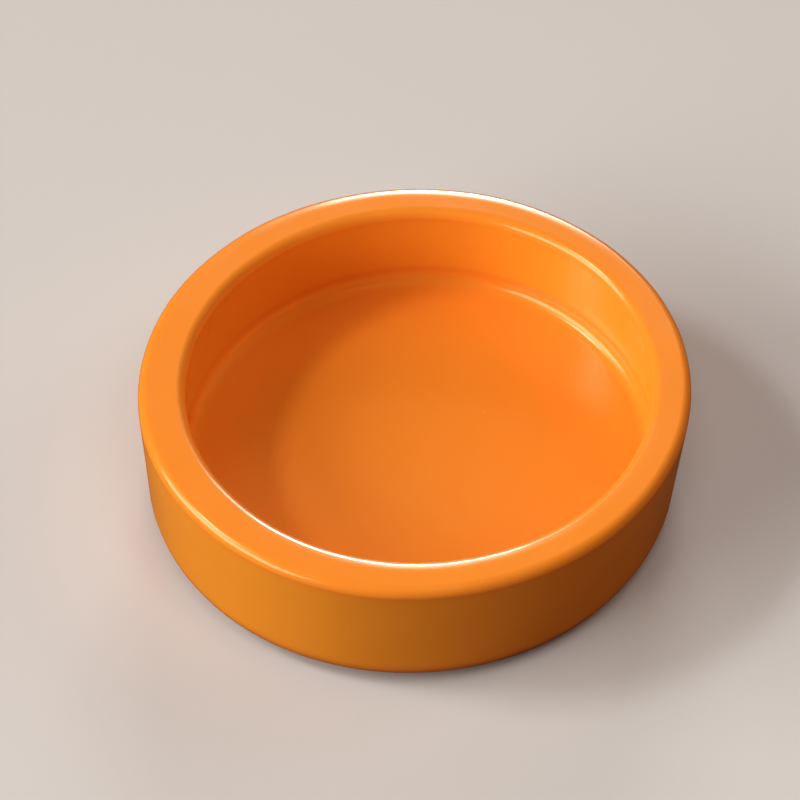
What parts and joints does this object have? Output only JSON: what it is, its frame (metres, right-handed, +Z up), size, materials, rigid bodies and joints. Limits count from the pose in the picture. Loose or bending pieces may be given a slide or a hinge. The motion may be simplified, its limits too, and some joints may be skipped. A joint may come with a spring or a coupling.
{
  "type": "evaporating dish",
  "caption": "Shallow round glazed ceramic dish with a thick flat rim, a flat-floored well and a low bare foot ring, for holding and drying off a liquid.",
  "frame": {"origin": "centre of the plane that the foot ring stands on", "axes": "+Z up, out of the mouth of the well; the dish is round about Z, so X and Y are free"},
  "size_m": [0.09, 0.09, 0.025],
  "materials": {
    "fired_clay": "unglazed stoneware, fine dry grain",
    "liner_glaze": "orange glaze with a satin gloss",
    "dipped_glaze": "orange glaze with a satin gloss, slightly paler on the rim",
    "brushed_glaze": "thin brushed orange glaze"
  },
  "bodies": {
    "root": {"fired_body": "fired_clay", "well_glaze": "liner_glaze", "outer_glaze": "dipped_glaze", "base_glaze": "brushed_glaze"}
  },
  "joints": []
}
